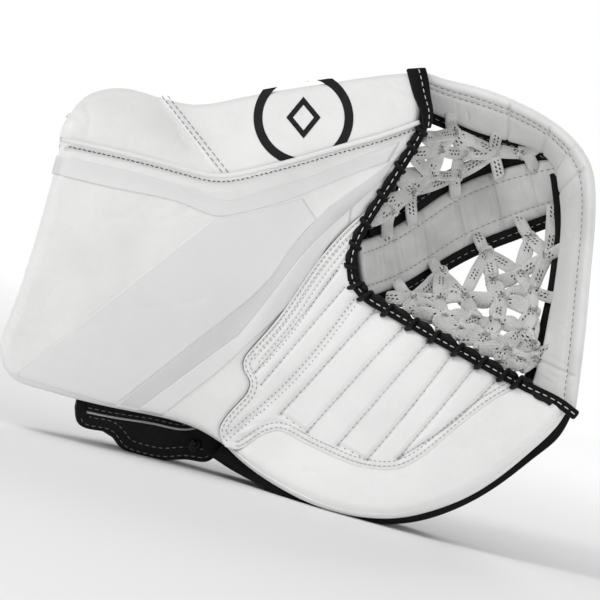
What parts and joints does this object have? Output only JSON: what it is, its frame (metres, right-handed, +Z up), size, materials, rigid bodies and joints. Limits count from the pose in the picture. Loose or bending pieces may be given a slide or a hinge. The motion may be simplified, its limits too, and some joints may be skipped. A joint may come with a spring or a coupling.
{
  "type": "goalie catch glove",
  "caption": "Padded ice-hockey catching glove with a stiff cuff, quilted palm, laced T-web pocket and hook-and-loop straps on the back of the hand.",
  "frame": {"origin": "centre of the footprint, on the floor the glove stands on", "axes": "+X from the cuff towards the T-web, +Y from the catching face to the back of the hand, +Z up towards the thumb"},
  "size_m": [0.4042, 0.1158, 0.3219],
  "materials": {
    "cuff_leather": "smooth, fine grain",
    "side_leather": "smooth, fine grain",
    "palm_leather": "smooth, stitched in channels",
    "web_leather": "smooth, quilted",
    "pad_foam": "felt-covered foam",
    "stiffener": "moulded sheet",
    "lining_cloth": "brushed knit",
    "shell_nylon": "coarse woven nylon",
    "edge_binding": "satin",
    "black_lace": "satin cord",
    "white_lace": "flat woven lace with dark flecks",
    "badge_print": "flexible film",
    "strap_webbing": "hook and loop"
  },
  "bodies": {
    "cuff": {"cuff_face": "cuff_leather", "cuff_foam": "pad_foam", "cuff_board": "stiffener", "cuff_lining": "lining_cloth", "cuff_side_panel": "side_leather", "cuff_side_foam": "pad_foam", "thumb_side_panel": "side_leather", "thumb_side_foam": "pad_foam", "seam_welt": "side_leather", "side_badge": "badge_print", "thumb_stall": "lining_cloth", "hand_back_pad": "shell_nylon", "wrist_pad": "shell_nylon", "wrist_flap": "shell_nylon", "wrist_knot": "black_lace", "hand_gusset": "shell_nylon", "wrist_strap_anchor": "strap_webbing", "hand_strap_anchor": "strap_webbing", "thumb_binding": "edge_binding", "thumb_whip_lace": "black_lace", "t_top_bar": "web_leather", "t_stem": "web_leather", "t_top_binding": "edge_binding", "stem_upper_binding": "edge_binding", "stem_lower_binding": "edge_binding", "upper_pocket_lace": "white_lace"},
    "fingers": {"palm_face": "palm_leather", "palm_foam": "pad_foam", "palm_board": "stiffener", "rim_pad": "palm_leather", "finger_back": "shell_nylon", "finger_gusset": "shell_nylon", "finger_stalls": "lining_cloth", "finger_binding": "edge_binding", "finger_whip_lace": "black_lace", "t_side_bar": "web_leather", "t_side_binding": "edge_binding", "lower_pocket_lace": "white_lace"},
    "wrist_strap": {"wrist_strap": "strap_webbing"},
    "hand_strap": {"hand_strap": "strap_webbing"}
  },
  "joints": [
    {"name": "glove_close", "type": "hinge", "parent": "cuff", "child": "fingers", "pos_m": [-0.03535, -0.0188, 0.02559], "axis": [-0.5864, -0.0101, -0.81], "range_deg": [0, 40], "deforming": ["lower_pocket_lace"]},
    {"name": "wrist_strap_peel", "type": "hinge", "parent": "cuff", "child": "wrist_strap", "pos_m": [-0.11598, 0.03718, 0.05105], "axis": [-0.8761, -0.3087, 0.3703], "range_deg": [0, 110]},
    {"name": "hand_strap_peel", "type": "hinge", "parent": "cuff", "child": "hand_strap", "pos_m": [-0.05573, 0.05206, 0.06041], "axis": [-0.9095, -0.1704, 0.3792], "range_deg": [0, 110]}
  ]
}
